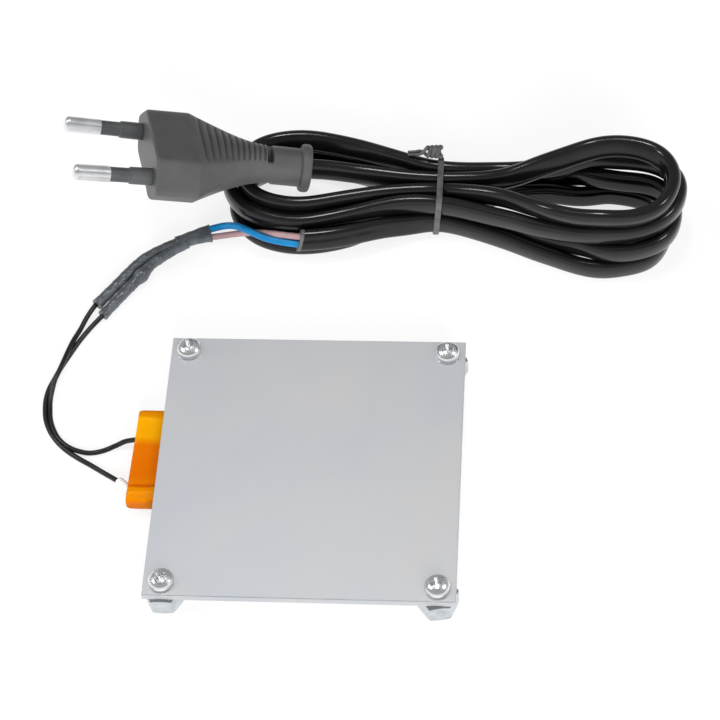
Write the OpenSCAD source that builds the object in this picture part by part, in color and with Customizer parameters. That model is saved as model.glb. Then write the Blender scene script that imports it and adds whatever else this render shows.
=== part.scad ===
// Small square heating plate on four hexagonal feet, with a film-wrapped heating core
// under the plate, two thin leads, heat-shrink splices and a tied flat mains cable
// that ends in a two-pin flat plug. All sizes are millimetres.
// The origin lies on the surface the feet stand on, below the middle of the heater:
// +X points right, +Y away from the front edge, +Z up.

/* [Plate] */
// width of the plate, left to right
plate_w = 70; // [66:1:90]
// depth of the plate, front to back
plate_d = 70; // [68:1:90]
// thickness of the plate
plate_t = 2; // [1.5:0.1:3]
// distance from the plate's left and right edges to the screws
inset_x = 4.2; // [3.6:0.2:8]
// distance from the plate's front and back edges to the screws
inset_y = 3.6; // [3.4:0.2:8]
// small bevel around the plate's upper and lower edges
edge_bevel = 0.2; // [0.1:0.05:0.4]
// clearance hole for a screw
screw_hole_d = 3.4; // [3.2:0.1:3.6]

/* [Screws] */
// thread diameter of the screws
screw_d = 3; // [3:0.5:3]
// length of a screw under its head
screw_l = 5; // [4:0.5:7]
// diameter of the pan head
head_d = 5.8; // [5.4:0.1:6]
// height of the pan head
head_h = 2.3; // [1.9:0.1:2.4]
// width across the cross recess
recess_w = 3.6; // [2.8:0.1:3.8]
// width of one arm of the cross recess
recess_arm = 0.9; // [0.7:0.1:1.1]
// depth of the cross recess
recess_depth = 1.4; // [1:0.1:1.6]

/* [Feet] */
// height of a foot, the space under the plate
foot_h = 5.5; // [5:0.5:12]
// width of a foot across its flats
foot_af = 8.2; // [7:0.1:9]
// radial room between a screw and the hole of its foot
thread_gap = 0.05; // [0:0.01:0.1]
// angle of the bevel that rounds a foot's corners off at both ends
foot_bevel = 30; // [20:5:45]

/* [Heating core] */
// length of the film-wrapped core
core_l = 70; // [60:1:75]
// width of the core
core_w = 24; // [20:1:30]
// thickness of the core
core_t = 4; // [3.4:0.1:4.2]
// how far the core sticks out past the plate's left edge
core_overhang = 6.5; // [4:0.5:10]
// how far the core's middle lies behind the plate's middle
core_y = 3.3; // [0:0.1:6]
// thickness of the adhesive between the core and the plate
adhesive_t = 0.3; // [0.1:0.1:0.4]
// thickness of the wrapped film
film_t = 0.3; // [0.2:0.05:0.4]
// thickness of one electrode strip
electrode_t = 0.5; // [0.3:0.1:0.6]
// number of ceramic tablets in a row
tablet_n = 4; // [2:1:4]
// length of one ceramic tablet
tablet_l = 14; // [10:1:15]

/* [Leads and splices] */
// outside diameter of a lead
lead_d = 1.4; // [1.2:0.1:1.8]
// outside diameter of the white sleeve on the front lead
lead_sleeve_d = 2.2; // [1.8:0.1:2.6]
// outside diameter of a splice sleeve
splice_d = 2.3; // [2:0.1:3]
// outside width of the sleeve shared by both splices
shared_sleeve_w = 4.4; // [3.6:0.1:5]
// outside height of the sleeve shared by both splices
shared_sleeve_h = 3; // [2.6:0.1:4]
// outside diameter of the blue core
blue_d = 1.8; // [1.6:0.1:2.2]
// outside diameter of the brown core
brown_d = 1.6; // [1.6:0.1:2.2]

/* [Cable] */
// width of the flat cable
cable_w = 5.6; // [5:0.1:6]
// thickness of the flat cable
cable_t = 3.5; // [3:0.1:4]
// height of one layer of leaning cable in the right loops
layer_pitch = 5.2; // [5:0.1:5.6]
// number of cable layers at the tie
waist_layers = 2; // [2:1:3]
// height of the left loops, where the plug rests on them
left_loop_h = 10.8; // [8:0.2:11]
// width of the tied waist, front to back
waist_w = 16.8; // [15:0.2:20]
// width of the tie's strap along the cable
tie_w = 2; // [1.6:0.1:3]
// thickness of the tie's strap
tie_t = 0.7; // [0.5:0.1:1]

/* [Plug] */
// width of the plug's front face
plug_w = 33.6; // [33:0.1:36]
// thickness of the plug
plug_t = 12.6; // [12:0.1:14.4]
// width of the flat top and bottom of the plug
plug_flat = 20.8; // [20:0.1:24]
// length of the plug's parallel part
plug_block_l = 10.8; // [10:0.2:14]
// distance from the front face to the end of the ribbed neck
neck_end = 32; // [30:0.5:34]
// radius of the neck where it is thinnest
neck_r = 4.8; // [4:0.1:5.4]
// distance from the front face to the end of the collar
plug_l = 41.4; // [40:0.2:45]
// diameter of the round end behind the neck
tail_d = 9.2; // [8:0.2:10]
// diameter of the collar
collar_d = 12; // [10:0.5:13]
// length of the collar
collar_l = 2.8; // [2:0.1:4]
// number of grip ribs
rib_n = 10; // [8:1:12]
// height of a grip rib
rib_h = 0.5; // [0.3:0.1:0.8]
// length of a pin from the front face
pin_l = 19.5; // [18.5:0.1:19.5]
// diameter of a pin
pin_d = 4; // [3.94:0.02:4.06]
// diameter of the insulating sleeve on a pin
pin_sleeve_d = 3.6; // [3.4:0.1:3.8]
// length of the insulating sleeve
pin_sleeve_l = 10.5; // [10:0.1:11]
// distance between the pins at the front face
pin_pitch_root = 18.6; // [18:0.1:19.2]
// distance between the pins at their tips
pin_pitch_tip = 17.5; // [17:0.1:18]

/* [Hidden] */
$fn = 40;
tiny = 0.01;

// the middle of the plate, set so that the origin is the middle of heater and feet
plate_x = 3;
plate_z = foot_h + plate_t;
pitch_x = plate_w - 2 * inset_x;
pitch_y = plate_d - 2 * inset_y;
foot_corner = foot_af / 2 / cos(30);
// side of each corner, in the order back left, back right, front left, front right
corner_sx = [-1, 1, -1, 1];
corner_sy = [1, 1, -1, -1];
// turn of each foot and screw, as they happened to be tightened
foot_turn = [9, 0, 0, 9];
screw_turn = [20, 8, 45, 15];

core_x0 = plate_x - plate_w / 2 - core_overhang;
core_top = foot_h - adhesive_t;
core_mid = core_top - core_t / 2;
inner_w = core_w - 2 * film_t;
inner_t = core_t - 2 * film_t;
tablet_t = inner_t - 2 * electrode_t;
// how far the adhesive stays inside the edges of core and plate
adhesive_inset = 1;
// how far the strips, and the tablets between them, stay inside the film
strip_inset = 0.7;
tablet_side_inset = 1.2;
// the tablets start a little inside the end that carries the leads
tablet_inset = 4;
tablet_pitch = (core_l - 2 * tablet_inset) / tablet_n;
end_room = 1;

// the cord's points are written for a core that ends at this x, and follow that end
route_x0 = -38.5;
route_shift = core_x0 - route_x0;

// centre lines, point by point, from the heater to the splices
lead_back_route = [
    [route_x0, 8.6, core_mid], [-40.5, 8.4, 2.6], [-43.4, 8.1, 1.2], [-46.5, 6.8, 0.8],
    [-50, 6.4, 0.8], [-54, 7.7, 0.8], [-57, 9.9, 0.8], [-59.3, 13, 0.8], [-60.7, 17, 0.8],
    [-61.2, 21.5, 0.8], [-60.8, 26, 0.8], [-59.8, 29.8, 0.8], [-58.4, 34, 0.8], [-57.2, 39, 0.8],
    [-55.4, 44.8, 0.9], [-53.6, 49, 1.1]];
lead_front_route = [
    [route_x0, -5.2, core_mid], [-40.2, -3.6, 2.6], [-42.6, -1.2, 1.6], [-45.2, 1, 0.9],
    [-49.2, 3.4, 0.8], [-52.4, 5.4, 0.8], [-56.2, 8.1, 0.8], [-59.8, 11.6, 0.8], [-61.6, 15, 0.8],
    [-62.6, 19, 0.8], [-62.5, 23, 0.9], [-61.2, 27, 1.9], [-59, 31, 2.3], [-56.9, 36, 1.3],
    [-54.3, 41.6, 1.1], [-51.6, 45.4, 1.15]];
// the white sleeve covers the front lead where it leaves the core
lead_sleeve_route = [[-39.2, -4.6, 3], [-40.2, -3.6, 2.6], [-41.6, -2.1, 2.1]];
splice_back_route = [[-53.6, 49, 1.15], [-50.2, 54.6, 1.2], [-46.4, 59.4, 1.3], [-42.6, 64.4, 1.5], [-38.4, 67.6, 1.7]];
splice_front_route = [[-51.6, 45.4, 1.15], [-48.2, 51.2, 1.2], [-44.2, 55.8, 1.3], [-40.4, 61, 1.5], [-36.4, 65, 1.7]];
shared_route = [[-37.4, 66.3, 1.7], [-34.6, 68.6, 1.7], [-31.2, 70.6, 1.7], [-27.2, 71.4, 1.7]];
blue_route = [
    [-27.2, 72.6, 2], [-23.7, 73.6, 3], [-19.8, 72.3, 4.7], [-15.4, 69.4, 5.4], [-11, 67.2, 5], [-6.5, 65.6, 5.2], [-3.9, 65.2, 5.4]];
brown_route = [
    [-27.2, 70.4, 1.7], [-23, 70.8, 2], [-19, 71, 3.2], [-14.6, 69.8, 4.4], [-9.6, 68.2, 4.6], [-3.9, 67.6, 5.4]];
// the cable's free stretches: from its cut end, and from the plug to the tie
cut_run_route = [[-3.9, 66.4, 5.4], [0, 66.7, 5.4], [4, 67.3, 5.4], [10, 68.6, 5.4], [16, 70.2, 5.2], [22, 72, 4.8]];

// the plug's place, its turn about the vertical, its dip towards the cable and its roll
plug_at = [-41.1, 78.4, 23.6];
plug_turn = [-13, 19.6, 11.2];
collar_at = plug_at + plug_l * [cos(plug_turn.z) * cos(plug_turn.y), sin(plug_turn.z) * cos(plug_turn.y), -sin(plug_turn.y)];
plug_run_route = [collar_at, [3, 85.4, 9.3], [9, 84.9, 9.2], [15, 84.3, 9.2], [21, 83.6, 9.2], [26, 83, 9.2]];

tie_x = 29.7;
waist_y = 80.2;
waist_h = waist_layers * cable_w;
waist_l = 6;
waist_r = 3;
waist_x0 = tie_x - waist_l / 2;
// outline of each right loop, from the lowest up: middle x, middle y and radius
right_loops = [[73, 71.8, 13.6], [74.6, 73.9, 13.8], [76.6, 74.6, 14.4], [74.7, 75.8, 13.9]];
right_h = len(right_loops) * layer_pitch;
// outline of the left loops, and of the run that lies flat in front of them
left_loop = [-10.1, 84.3, 14.7];
flat_loop = [-9, 79.5, 14.6];
flat_end = [25, 77.5, 5];
// the opening inside the left loops
pocket = [-8, 85.5, 8.6];
pocket_end = [14, 83.4, 4.6];

// the ribbed neck narrows from the block's shape to a round shape over this length
neck_span = 14.5;
neck_power = 1.8;
neck_power_t = 1.2;
front_bevel = 0.8;
groove_l = 0.8;
groove_d = 6.6;
rib_first = 12.4;
rib_pitch = (neck_end - rib_first - 1.2) / rib_n;
// a rib's foot and crest, before and behind its middle
rib_steps = [-0.62, -0.3, 0.3, 0.62];
rib_rise = [0, 1, 1, 0];
// how far a rib's near end trails its far end, reached this far behind the block
rib_slant = 0.14;
slant_run = 5;
// the block's corner direction, seen along the plug
corner_a = atan2(plug_t / 2, plug_flat / 2);
ring_half = [0, 10, 21, corner_a, 45, 58, 74, 90, 106, 122, 135, 180 - corner_a, 159, 170];
ring_angles = concat(ring_half, [for (a = ring_half) a + 180]);
// rings of the body from the front face to the end of the neck: place and growth
body_rings = concat(
    [[0, -front_bevel], [front_bevel, 0], [plug_block_l, 0]],
    [for (k = [0:rib_n - 1]) for (j = [0:3]) [rib_first + (k + 0.5) * rib_pitch + rib_steps[j], rib_rise[j] * rib_h]],
    [[neck_end, 0]]);
pin_tilt = atan2((pin_pitch_root - pin_pitch_tip) / 2, pin_l);

// the length-one vector along v
function unit(v) = v / norm(v);

// direction of a route at point i, from its neighbours
function along(p, i) = unit(p[min(i + 1, len(p) - 1)] - p[max(i - 1, 0)]);

// one ring of m points around point i of route p, a wide sideways and b high
function tube_ring(p, i, a, b, m) =
    let (t = along(p, i), s = unit(cross(t, [0, 0, 1])), u = cross(s, t))
    [for (k = [0:m - 1]) p[i] + a * cos(360 * k / m) * s + b * sin(360 * k / m) * u];

// 1 at the block's end, 0 where the neck has become round
function neck_mix(s) = max(0, 1 - max(0, s - plug_block_l) / neck_span);

// half width and half thickness of the plug at distance s from its front face
function half_w(s) = neck_r + (plug_w / 2 - neck_r) * pow(neck_mix(s), neck_power);
function half_t(s) = neck_r + (plug_t / 2 - neck_r) * pow(neck_mix(s), neck_power_t);

// the block's outline as a distance from its middle, in direction a
function block_r(a) =
    let (c = abs(cos(a)), s = abs(sin(a)), slope = (plug_w - plug_flat) / plug_t)
    min(s > 0 ? plug_t / 2 / s : plug_w, plug_w / 2 / (c + slope * s));

// a point of the plug's skin: block outline blended into an ellipse, grown by g
function skin_at(s, a, g) =
    let (
        m = neck_mix(s),
        block = block_r(a) * [cos(a) * half_w(s) * 2 / plug_w, sin(a) * half_t(s) * 2 / plug_t],
        oval = [half_w(s) * cos(a), half_t(s) * sin(a)],
        p = m * block + (1 - m) * oval,
        q = p * (1 + g / norm(p)))
    [s, q.x, q.y];

// how far the ring at s leans forward at angle a
function lean(s, a) =
    rib_slant * half_w(s) * cos(a) * max(0, min(1, (s - plug_block_l) / slant_run, (neck_end - s) / 2));

// share of growth g at angle a: ribs only rise over the upper half
function top_share(g, a) = g < 0 ? 1 : max(0, min(1, 0.3 + 4 * sin(a)));

// closed solid through a list of rings that all have the same number of points
module loft(rings) {
    m = len(rings[0]);
    n = len(rings);
    polyhedron(
        points = [for (r = rings) each r],
        faces = concat(
            [[for (i = [0:m - 1]) i]],
            [for (k = [0:n - 2]) for (i = [0:m - 1]) [k * m + i, (k + 1) * m + i, k * m + (i + 1) % m]],
            [for (k = [0:n - 2]) for (i = [0:m - 1]) [(k + 1) * m + i, (k + 1) * m + (i + 1) % m, k * m + (i + 1) % m]],
            [[for (i = [0:m - 1]) n * m - 1 - i]]));
}

// a cord of width w and height h along a route
module cord(route, w, h, sides) {
    translate([route_shift, 0, 0])
        loft([for (i = [0:len(route) - 1]) tube_ring(route, i, w / 2, h / 2, sides)]);
}

// moves its children to screw position i
module at_corner(i) {
    translate([plate_x + corner_sx[i] * pitch_x / 2, corner_sy[i] * pitch_y / 2, 0])
        children();
}

// moves its children from the plug's own frame to where the plug lies
module at_plug() {
    translate(plug_at + [route_shift, 0, 0])
        rotate(plug_turn)
            children();
}

// square plate with bevelled edges and four screw holes
module top_plate() {
    color([0.78, 0.78, 0.79])
        difference() {
            translate([plate_x, 0, foot_h]) {
                translate([0, 0, edge_bevel])
                    linear_extrude(plate_t - 2 * edge_bevel)
                        square([plate_w, plate_d], center = true);
                linear_extrude(plate_t)
                    square([plate_w - 2 * edge_bevel, plate_d - 2 * edge_bevel], center = true);
            }
            for (i = [0:3])
                at_corner(i)
                    translate([0, 0, foot_h - 1])
                        cylinder(d = screw_hole_d, h = plate_t + 2);
        }
}

// pan-head screw: domed head with a cross recess, plain shank
module screw(i) {
    dome_base = 0.7;
    color([0.82, 0.82, 0.83])
        at_corner(i)
            translate([0, 0, plate_z])
                difference() {
                    union() {
                        rotate_extrude()
                            polygon(concat(
                                [[0, 0], [head_d / 2, 0]],
                                [for (a = [0:15:90]) [head_d / 2 * cos(a), dome_base + (head_h - dome_base) * sin(a)]]));
                        translate([0, 0, -screw_l])
                            cylinder(d = screw_d, h = screw_l + tiny);
                    }
                    translate([0, 0, head_h + tiny])
                        rotate([180, 0, screw_turn[i]])
                            linear_extrude(recess_depth, scale = 0.45)
                                cross_outline();
                }
}

// the cross of a screw's recess, with rounded inner corners
module cross_outline() {
    fillet = 0.35;
    offset(r = -fillet, $fn = 16)
        offset(delta = fillet)
            union() {
                square([recess_w, recess_arm], center = true);
                square([recess_arm, recess_w], center = true);
            }
}

// hexagonal foot, its corners bevelled at both ends, with a hole for the screw
module foot(i) {
    rise = (foot_corner - foot_af / 2 + 0.25) * tan(foot_bevel);
    color([0.74, 0.74, 0.75])
        at_corner(i)
            difference() {
                intersection() {
                    rotate([0, 0, foot_turn[i]])
                        cylinder(r = foot_corner, h = foot_h, $fn = 6);
                    rotate_extrude()
                        polygon([
                            [0, 0], [foot_af / 2 - 0.2, 0], [foot_corner + 0.05, rise],
                            [foot_corner + 0.05, foot_h - rise], [foot_af / 2 - 0.2, foot_h], [0, foot_h]]);
                }
                translate([0, 0, -1])
                    cylinder(r = screw_d / 2 + thread_gap, h = foot_h + 2);
            }
}

// adhesive that bonds the core to the underside of the plate
module core_adhesive() {
    left = plate_x - plate_w / 2 + adhesive_inset;
    color([0.85, 0.84, 0.8])
        translate([left, core_y - core_w / 2 + adhesive_inset, core_top])
            cube([core_x0 + core_l - left - adhesive_inset, core_w - 2 * adhesive_inset, adhesive_t]);
}

// cross-section of the film's outside, its long edges rounded
module film_outline(w, t, r) {
    offset(r = r, $fn = 24)
        square([w - 2 * r, t - 2 * r], center = true);
}

// flat tube of film, closed at the end the leads come out of
module core_film() {
    color([0.86, 0.45, 0.08])
        translate([core_x0, core_y, core_mid])
            rotate([90, 0, 90])
                difference() {
                    linear_extrude(core_l)
                        film_outline(core_w, core_t, 1);
                    translate([0, 0, end_room])
                        linear_extrude(core_l)
                            film_outline(inner_w, inner_t, 0.7);
                }
}

// metal strip above or below the tablets
module electrode(z) {
    color([0.8, 0.8, 0.82])
        translate([core_x0 + end_room, core_y - inner_w / 2 + strip_inset, z])
            cube([core_l - 2 * end_room, inner_w - 2 * strip_inset, electrode_t]);
}

// row of ceramic heating tablets between the strips
module tablets() {
    color([0.3, 0.3, 0.32])
        for (i = [0:tablet_n - 1])
            translate([
                core_x0 + tablet_inset + tablet_pitch * (i + 0.5) - tablet_l / 2,
                core_y - inner_w / 2 + tablet_side_inset,
                core_mid - tablet_t / 2])
                cube([tablet_l, inner_w - 2 * tablet_side_inset, tablet_t]);
}

// a disc of the given outline, its middle x and y and its radius, from height z up
module disc(outline, z, h) {
    translate([outline[0], outline[1], z])
        cylinder(r = outline[2], h = h);
}

// tied hank: low loops on the left, taller loops on the right, a waist between them
module cable_hank() {
    color([0.05, 0.05, 0.05])
        translate([route_shift, 0, 0])
            difference() {
                union() {
                    waist_block(waist_x0, waist_l);
                    hull() {
                        waist_block(waist_x0 + waist_l - tiny, tiny);
                        for (k = [0:len(right_loops) - 1])
                            disc(right_loops[k], k * layer_pitch, layer_pitch);
                    }
                    hull() {
                        waist_block(waist_x0, tiny);
                        disc(left_loop, 0, left_loop_h);
                    }
                    // the lowest run lies flat in front and carries the cable's cut end
                    hull() {
                        disc(flat_loop, 0, cable_t);
                        disc(flat_end, 0, cable_t);
                    }
                }
                // the opening inside the left loops takes the plug's collar and its cable
                hull() {
                    disc(pocket, -1, right_h);
                    disc(pocket_end, -1, right_h);
                }
            }
}

// the bundle of cable runs that the tie goes around, from x on and l long
module waist_block(x, l) {
    translate([x, waist_y, waist_h / 2 + tie_t])
        rotate([90, 0, 90])
            linear_extrude(l)
                waist_outline(0);
}

// outline of the waist seen along the cable, grown by g
module waist_outline(g) {
    offset(r = waist_r + g, $fn = 32)
        square([waist_w - 2 * waist_r, waist_h - 2 * waist_r], center = true);
}

// strap around the waist
module tie_strap() {
    color([0.16, 0.16, 0.17])
        translate([tie_x - tie_w / 2 + route_shift, waist_y, waist_h / 2 + tie_t])
            rotate([90, 0, 90])
                linear_extrude(tie_w)
                    difference() {
                        waist_outline(tie_t);
                        waist_outline(0);
                    }
}

// the strap's twisted ends: a knot on the waist and a tail bent down to the left
module tie_ends() {
    knot_y = waist_y + waist_w / 2 - 1;
    top = waist_h + 2 * tie_t;
    color([0.16, 0.16, 0.17])
        translate([route_shift, 0, 0]) {
            translate([tie_x, knot_y, top])
                linear_extrude(3.6, twist = 270, slices = 6)
                    square([tie_w, tie_t * 1.6], center = true);
            translate([tie_x, knot_y, top + 1])
                rotate([0, -90, 12])
                    linear_extrude(7, twist = 450, slices = 9)
                        square([tie_w * 0.8, tie_t * 1.6], center = true);
        }
}

// moulded body of the plug: bevelled block that narrows to a round neck,
// with slanting grip ribs over the upper half of the neck
module plug_body() {
    color([0.1, 0.1, 0.1])
        at_plug()
            loft([for (r = body_rings)
                [for (a = ring_angles) skin_at(r[0] - lean(r[0], -a), -a, r[1] * top_share(r[1], -a))]]);
}

// round tail behind the neck, with the collar that the cable comes out of
module plug_collar() {
    color([0.1, 0.1, 0.1])
        at_plug()
            rotate([0, 90, 0])
                rotate_extrude()
                    polygon([
                        [0, neck_end], [groove_d / 2, neck_end], [groove_d / 2, neck_end + groove_l],
                        [tail_d / 2, neck_end + groove_l], [tail_d / 2, plug_l - collar_l],
                        [collar_d / 2 - 0.4, plug_l - collar_l], [collar_d / 2, plug_l - collar_l + 0.4],
                        [collar_d / 2, plug_l - 0.4], [collar_d / 2 - 0.4, plug_l], [0, plug_l]]);
}

// moves its children to the root of the far (+1) or near (-1) pin, turned along it
module at_pin(side) {
    at_plug()
        translate([0, side * pin_pitch_root / 2, 0])
            rotate([0, -90, -side * pin_tilt])
                children();
}

// metal pin with a rounded tip
module pin(side) {
    tip = 1.2;
    color([0.8, 0.79, 0.76])
        at_pin(side) {
            translate([0, 0, pin_sleeve_l])
                rotate_extrude()
                    polygon(concat(
                        [[0, 0], [pin_d / 2, 0]],
                        [for (a = [0:15:90]) [pin_d / 2 - tip + tip * cos(a), pin_l - pin_sleeve_l - tip + tip * sin(a)]],
                        [[0, pin_l - pin_sleeve_l]]));
        }
}

// insulating sleeve around the root of a pin, thicker next to the front face
module pin_sleeve(side) {
    step_l = 5.5;
    color([0.12, 0.12, 0.12])
        at_pin(side)
            rotate_extrude()
                polygon([
                    [0, 0.15], [pin_d / 2 + 0.15, 0.15], [pin_d / 2 + 0.1, step_l],
                    [pin_sleeve_d / 2, step_l + 0.3], [pin_sleeve_d / 2, pin_sleeve_l], [0, pin_sleeve_l]]);
}

top_plate();
screw(0);  // screw_back_left
screw(1);  // screw_back_right
screw(2);  // screw_front_left
screw(3);  // screw_front_right
foot(0);  // foot_back_left
foot(1);  // foot_back_right
foot(2);  // foot_front_left
foot(3);  // foot_front_right
core_adhesive();
core_film();
electrode(core_mid + tablet_t / 2);  // electrode_upper
electrode(core_mid - tablet_t / 2 - electrode_t);  // electrode_lower
tablets();
color([0.06, 0.06, 0.06]) cord(lead_back_route, lead_d, lead_d, 8);  // lead_back
color([0.06, 0.06, 0.06]) cord(lead_front_route, lead_d, lead_d, 8);  // lead_front
color([0.85, 0.85, 0.83]) cord(lead_sleeve_route, lead_sleeve_d, lead_sleeve_d, 8);  // lead_sleeve
color([0.08, 0.08, 0.08]) cord(splice_back_route, splice_d, splice_d, 8);  // splice_back
color([0.08, 0.08, 0.08]) cord(splice_front_route, splice_d, splice_d, 8);  // splice_front
color([0.08, 0.08, 0.08]) cord(shared_route, shared_sleeve_w, shared_sleeve_h, 12);  // splice_shared
color([0.1, 0.3, 0.75]) cord(blue_route, blue_d, blue_d, 8);  // wire_blue
color([0.75, 0.45, 0.4]) cord(brown_route, brown_d, brown_d, 8);  // wire_brown
color([0.05, 0.05, 0.05]) cord(cut_run_route, cable_w, cable_t, 12);  // cable_cut_run
cable_hank();
color([0.05, 0.05, 0.05]) cord(plug_run_route, cable_t, cable_w, 12);  // cable_plug_run
tie_strap();
tie_ends();
plug_body();
plug_collar();
pin(1);  // pin_far
pin(-1);  // pin_near
pin_sleeve(1);  // pin_sleeve_far
pin_sleeve(-1);  // pin_sleeve_near
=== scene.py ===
# %% [markdown]
# # A small heating plate with a tied mains cable
# A bare square metal plate stands on four hexagonal feet. A film-wrapped heating core is
# glued under it, and two thin leads run from the core to a flat mains cable that lies
# folded in a tied hank behind the plate.
#
# The rigid pieces come from the CAD frame, already in place, and get their finishes here.
# What is soft is made here as new surfaces: the leads, the heat-shrink sleeves, the mains
# cable and its tie, the skin of the moulded plug, and the film round the core.

# %% Load the frame
import bpy
import math
import numpy as np
from mathutils import Matrix


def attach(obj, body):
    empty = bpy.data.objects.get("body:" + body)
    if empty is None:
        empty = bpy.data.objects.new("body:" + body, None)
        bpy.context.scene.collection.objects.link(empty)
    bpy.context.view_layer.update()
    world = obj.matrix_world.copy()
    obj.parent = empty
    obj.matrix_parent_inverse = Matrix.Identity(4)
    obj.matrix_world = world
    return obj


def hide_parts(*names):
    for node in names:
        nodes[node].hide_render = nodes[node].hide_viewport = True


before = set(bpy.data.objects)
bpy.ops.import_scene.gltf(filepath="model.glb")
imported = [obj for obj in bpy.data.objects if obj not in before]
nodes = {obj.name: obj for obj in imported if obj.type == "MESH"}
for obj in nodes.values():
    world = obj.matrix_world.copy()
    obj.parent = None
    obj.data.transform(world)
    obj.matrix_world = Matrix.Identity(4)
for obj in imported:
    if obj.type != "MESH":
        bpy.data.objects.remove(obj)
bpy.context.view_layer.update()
print("pieces in the frame:", len(nodes))

# %% [markdown]
# ## The camera
# The photograph looks down on the plate from the front, a little from the right. A camera
# is placed by three directions: its right, its up, and the way back from what it sees.
# Turning the first two about the third gives the small roll of a hand-held camera.
# Aiming it at an empty would do too, but an exact place and turn can be worked out from the
# plate's four corners in the photograph.

# %% Camera
MM = 0.001
# azimuth, elevation and roll in degrees, the place in mm, and the lens on its sensor in mm
CAMERA_TURN, CAMERA_AT = (7.93, 55.25, -5.6), (55.84, -277.2, 453.63)
LENS, SENSOR = 114.8, 36.0


def turned_axes(azimuth, elevation, roll):
    """Right, up and back of a camera, turned by roll about its view axis.

    back is (sin a cos e, -cos a cos e, sin e); roll mixes right and up by its cosine and sine.
    """
    a, e, r = (math.radians(v) for v in (azimuth, elevation, roll))
    back = np.array([math.sin(a) * math.cos(e), -math.cos(a) * math.cos(e), math.sin(e)])
    right = np.array([math.cos(a), math.sin(a), 0.0])
    up = np.cross(back, right)
    return (
        math.cos(r) * right + math.sin(r) * up,
        math.cos(r) * up - math.sin(r) * right,
        back,
    )


camera_data = bpy.data.cameras.new("camera")
camera_data.lens, camera_data.sensor_width = LENS, SENSOR
camera = bpy.data.objects.new("camera", camera_data)
bpy.context.scene.collection.objects.link(camera)
axes = np.eye(4)
axes[:3, :3] = np.column_stack(turned_axes(*CAMERA_TURN))
axes[:3, 3] = np.array(CAMERA_AT) * MM
camera.matrix_world = Matrix(axes.tolist())
bpy.context.scene.camera = camera
print("camera distance from the origin, m:", round(float(np.linalg.norm(axes[:3, 3])), 3))

# %% [markdown]
# ## Helpers for surfaces
# Every new piece is a grid of points: rings carried along a line. One helper turns such a
# grid into a mesh, closes its ends with flat caps of one face each, so that no pole shows
# a pinch, and hides the CAD solids that the new piece stands for. Bevelled curves could
# make the cords alone; grids make everything here.

# %% Grids of points become meshes


def new_piece(name, points, faces, replaces=()):
    """A smooth mesh object from points and faces, that rides on the part's one body."""
    mesh = bpy.data.meshes.new(name)
    mesh.from_pydata(np.asarray(points, float).tolist(), [], faces)
    mesh.update()
    mesh.polygons.foreach_set("use_smooth", [True] * len(mesh.polygons))
    piece = bpy.data.objects.new(name, mesh)
    bpy.context.scene.collection.objects.link(piece)
    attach(piece, "root")
    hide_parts(*replaces)
    print(name, "faces:", len(faces))
    return piece


def ring_faces(rows, sides, closed=False):
    """Quads between neighbouring rings; where closed is set the last ring joins the first."""
    last = rows if closed else rows - 1
    row, side = (v.ravel() for v in np.meshgrid(range(last), range(sides), indexing="ij"))
    next_row, next_side = (row + 1) % rows, (side + 1) % sides
    corners = [(row, side), (row, next_side), (next_row, next_side), (next_row, side)]
    return np.stack([r * sides + k for r, k in corners], axis=1).tolist()


def caps(rows, sides, first=0):
    """The two flat ends of a tube of rings, as one face each."""
    last = first + (rows - 1) * sides
    return [list(range(first, first + sides))[::-1], list(range(last, last + sides))]


def skin(name, rings, replaces=(), closed=False):
    """A closed skin through rings of points; open ends are filled with flat caps."""
    rings = np.asarray(rings, float)
    rows, sides = rings.shape[:2]
    flat = [] if closed else caps(rows, sides)
    faces = ring_faces(rows, sides, closed) + flat
    piece = new_piece(name, rings.reshape(-1, 3), faces, replaces)
    for cap in range(len(flat)):
        piece.data.polygons[len(faces) - 1 - cap].use_smooth = False
    return piece


# %% [markdown]
# ## Centre lines
# A cord is bent metal and plastic, so its line has no corners. A few points are joined
# by a smooth curve, and the curve is read again at even steps, so the rings are even too.

# %% Smooth lines through a few points


def between(t, start, end, p, q):
    """At t, the straight line that is p at start and q at end."""
    return (end - t) / (end - start) * p + (t - start) / (end - start) * q


def smooth_line(points, step):
    """A centripetal spline through points (of any number of columns), read at even steps.

    Each stretch blends straight lines through its four nearest points, and its parameter is
    spaced by the square root of the distances.
    """
    p = np.asarray(points, float)
    p = np.vstack([2 * p[0] - p[1], p, 2 * p[-1] - p[-2]])
    gap = np.sqrt(np.maximum(np.linalg.norm(np.diff(p[:, :3], axis=0), axis=1), 1e-6))
    knot = np.concatenate([[0], np.cumsum(gap)])
    pieces = []
    for i in range(1, len(p) - 2):
        t0, t1, t2, t3 = knot[i - 1 : i + 3]
        t = np.linspace(t1, t2, 24, endpoint=False)[:, None]
        a = between(t, t0, t1, p[i - 1], p[i])
        b = between(t, t1, t2, p[i], p[i + 1])
        c = between(t, t2, t3, p[i + 1], p[i + 2])
        d, e = between(t, t0, t2, a, b), between(t, t1, t3, b, c)
        pieces.append(between(t, t1, t2, d, e))
    return even_steps(np.vstack(pieces + [p[-2][None]]), step)


def even_steps(line, step):
    """The same line read again at even steps of length."""
    lengths = np.linalg.norm(np.diff(line[:, :3], axis=0), axis=1)
    run = np.concatenate([[0], np.cumsum(lengths)])
    count = max(2, int(round(run[-1] / step)) + 1)
    at = np.linspace(0, run[-1], count)
    return np.stack([np.interp(at, run, column) for column in line.T], axis=1)


def soften(line, passes):
    """Moves all but the outer two points half way to their neighbours' middle, once a pass."""
    line = line.copy()
    for _ in range(passes):
        middle = (line[1:-3] + line[3:-1]) / 2
        line[2:-2] += 0.5 * (middle - line[2:-2])
    return line


def unit(vectors):
    """Vectors divided by their lengths."""
    return vectors / np.linalg.norm(vectors, axis=-1, keepdims=True)


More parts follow.
